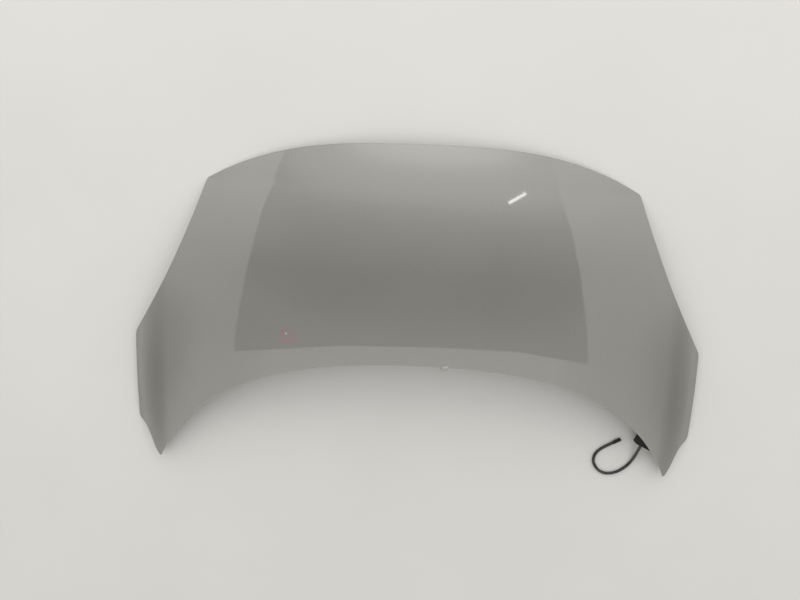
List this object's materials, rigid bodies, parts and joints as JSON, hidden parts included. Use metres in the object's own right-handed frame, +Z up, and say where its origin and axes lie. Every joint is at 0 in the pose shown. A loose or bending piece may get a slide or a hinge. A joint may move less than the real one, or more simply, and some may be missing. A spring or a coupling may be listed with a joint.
{
  "type": "car bonnet",
  "caption": "Pressed steel car bonnet: hemmed outer skin over a stamped inner frame, with latch striker, rubber buffers and washer hose.",
  "frame": {"origin": "on the floor under the middle of the pressings' box, the bonnet lying outer skin up", "axes": "+X across the car to the right seen from behind the bonnet, +Y towards the nose, +Z up out of the outer skin"},
  "size_m": [1.4524, 0.8353, 0.1443],
  "materials": {
    "paint": "silver grey metallic car paint under clear coat, slightly dusty",
    "undercoat": "thin satin body colour over primer on pressed steel",
    "zinc": "yellowish zinc plating, satin",
    "rubber": "moulded black rubber, matte",
    "hose": "extruded dark grey rubber hose, satin",
    "mastic": "cured grey mastic, matte",
    "jet_plastic": "pale grey moulded plastic",
    "clip_plastic": "black moulded nylon"
  },
  "bodies": {
    "root": {"outer_skin": "paint", "inner_frame": "undercoat", "hinge_reinforcement_right": "zinc", "hinge_nut_right_rear": "zinc", "hinge_nut_right_front": "zinc", "hinge_reinforcement_left": "zinc", "hinge_nut_left_rear": "zinc", "hinge_nut_left_front": "zinc", "latch_reinforcement": "zinc", "striker": "zinc", "latch_nut_left": "zinc", "striker_bolt_left": "zinc", "latch_nut_right": "zinc", "striker_bolt_right": "zinc", "buffer_right": "rubber", "buffer_left": "rubber", "prop_socket": "rubber", "hose_clip_1": "clip_plastic", "hose_clip_2": "clip_plastic", "hose_clip_3": "clip_plastic", "hose_clip_4": "clip_plastic", "mastic_dab_1": "mastic", "mastic_dab_2": "mastic", "mastic_dab_3": "mastic", "mastic_dab_4": "mastic", "mastic_dab_5": "mastic", "mastic_dab_6": "mastic", "mastic_dab_7": "mastic", "mastic_dab_8": "mastic", "mastic_dab_9": "mastic", "mastic_dab_10": "mastic", "washer_hose_inner": "hose", "washer_jet": "jet_plastic", "hose_block": "rubber", "washer_hose_free": "hose", "hose_cuff": "rubber"}
  },
  "joints": []
}
